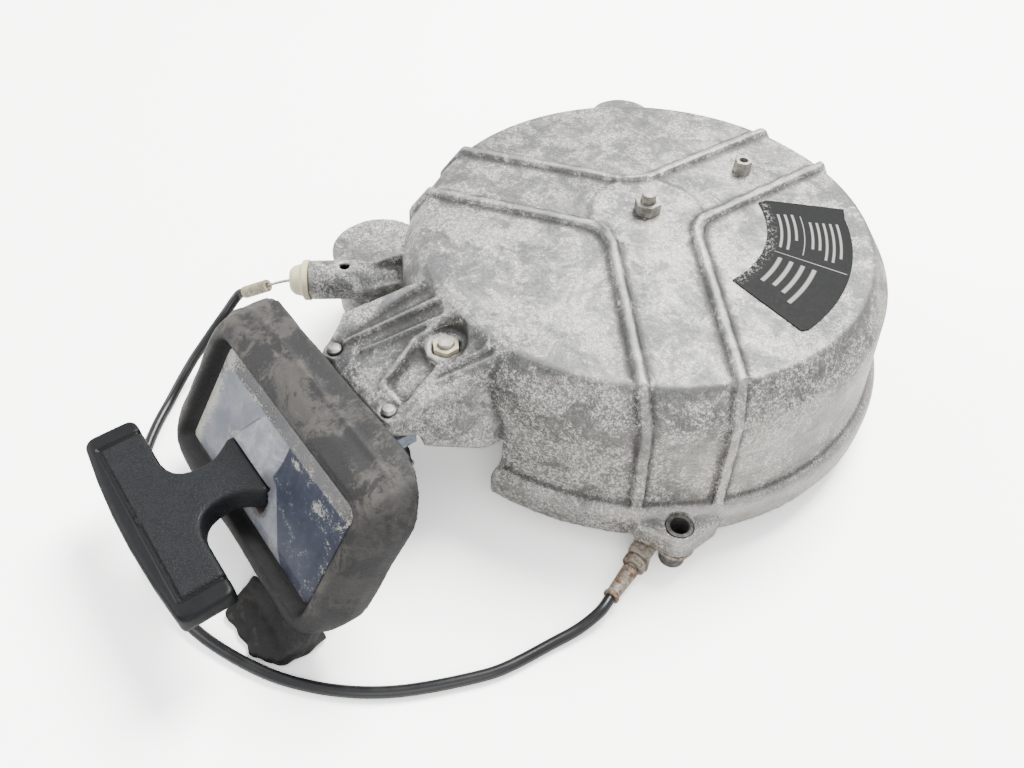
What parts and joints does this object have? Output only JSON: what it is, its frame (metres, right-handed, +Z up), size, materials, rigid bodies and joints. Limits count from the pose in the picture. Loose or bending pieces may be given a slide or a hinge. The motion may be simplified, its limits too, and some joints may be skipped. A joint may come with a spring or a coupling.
{
  "type": "outboard engine recoil starter",
  "caption": "Cast recoil starter for an outboard engine: bell-shaped case with lugs, rope drum, rope guide, T-handle in a sealed plate, and a cable-worked stop plunger.",
  "frame": {"origin": "centre of the bounding box in plan, on the plane that the three mounting collars stand on (the free cable and what is on it left out)", "axes": "+Z up along the crankshaft axis; -Y the way the rope is pulled, towards the T-handle; +X to the right of someone who faces +Y"},
  "size_m": [0.2996, 0.4722, 0.124],
  "materials": {
    "casting": "weathered bare die casting",
    "steel": "plain steel",
    "dull_steel": "dulled steel",
    "rusty_steel": "rusted zinc-plated steel",
    "spring_steel": "dark spring steel",
    "yellow_zinc": "pale cream passivated zinc",
    "bronze": "sintered bronze",
    "painted_plate": "worn blue-grey paint",
    "blue_steel": "blue-grey coating",
    "handle_plastic": "charcoal, fine-textured",
    "nylon_cream": "cream nylon",
    "nylon_dark": "dark nylon",
    "seal_rubber": "aged rubber",
    "cable_plastic": "glossy black",
    "clear_sleeve": "translucent, yellowed",
    "label_film": "dark blank film",
    "rope_fibre": "woven starter rope"
  },
  "bodies": {
    "starter": {"starter_case": "casting", "threaded_insert": "dull_steel", "blank_label": "label_film", "mount_collar_left": "dull_steel", "mount_collar_right": "dull_steel", "mount_collar_back": "dull_steel", "pivot_shaft": "steel", "shaft_nut": "steel", "spring_case": "dull_steel", "mainspring": "spring_steel", "friction_plate": "dull_steel", "friction_spring": "spring_steel", "thrust_washer": "steel", "centre_washer": "steel", "centre_bolt": "steel", "handle_bracket": "blue_steel", "roller_pin_left": "steel", "roller_pin_right": "steel", "guide_bolt": "steel", "guide_nut": "yellow_zinc", "handle_plate": "painted_plate", "plate_nut_left": "steel", "plate_nut_right": "steel", "rubber_seal": "seal_rubber", "rope_lead": "rope_fibre", "rope_guided": "rope_fibre", "plunger_cap": "nylon_cream", "cable_sleeve": "clear_sleeve", "stop_cable": "cable_plastic", "cable_adjuster": "rusty_steel", "adjuster_nut": "rusty_steel", "cable_tab": "rusty_steel"},
    "drum": {"rope_drum": "nylon_dark", "drum_bush": "bronze", "rope_wound": "rope_fibre", "pawl_pin": "steel", "pawl_spring": "spring_steel"},
    "pawl": {"drive_pawl": "steel"},
    "handle": {"handle_grip": "handle_plastic", "handle_band": "handle_plastic", "rope_knot": "rope_fibre", "rope_pull": "rope_fibre"},
    "plunger": {"stop_plunger": "steel", "plunger_spring": "spring_steel", "stop_wire": "steel"},
    "roller_left": {"rope_roller_left": "nylon_dark"},
    "roller_right": {"rope_roller_right": "nylon_dark"}
  },
  "joints": [
    {"name": "drum_spin", "type": "hinge", "parent": "starter", "child": "drum", "pos_m": [0.00143, 0.07338, 0.048], "axis": [0, 0, -1], "range_deg": [0, 1010], "stiffness_Nm_per_rad": 0.1, "springref_deg": -286.48},
    {"name": "pawl_swing", "type": "hinge", "parent": "drum", "child": "pawl", "pos_m": [0.02543, 0.03181, 0.03], "axis": [0, 0, 1], "range_deg": [0, 35], "stiffness_Nm_per_rad": 0.01, "springref_deg": -11.46},
    {"name": "handle_pull", "type": "slide", "parent": "starter", "child": "handle", "axis": [0, -1, 0], "range_m": [0, 1.2]},
    {"name": "stop_plunger_slide", "type": "slide", "parent": "starter", "child": "plunger", "axis": [-0.5807, -0.8141, 0], "range_m": [0, 0.008], "stiffness_N_per_m": 300, "springref_m": -0.01, "deforming": ["plunger_spring", "stop_wire"]},
    {"name": "roller_left_spin", "type": "hinge", "parent": "starter", "child": "roller_left", "pos_m": [-0.04177, -0.10502, 0.048], "axis": [0, 0, 1], "continuous": true},
    {"name": "roller_right_spin", "type": "hinge", "parent": "starter", "child": "roller_right", "pos_m": [0.01163, -0.10442, 0.048], "axis": [0, 0, 1], "continuous": true}
  ],
  "couplings": [
    {"joint": "handle_pull", "follows": "drum_spin", "m_per_rad": 0.068}
  ]
}
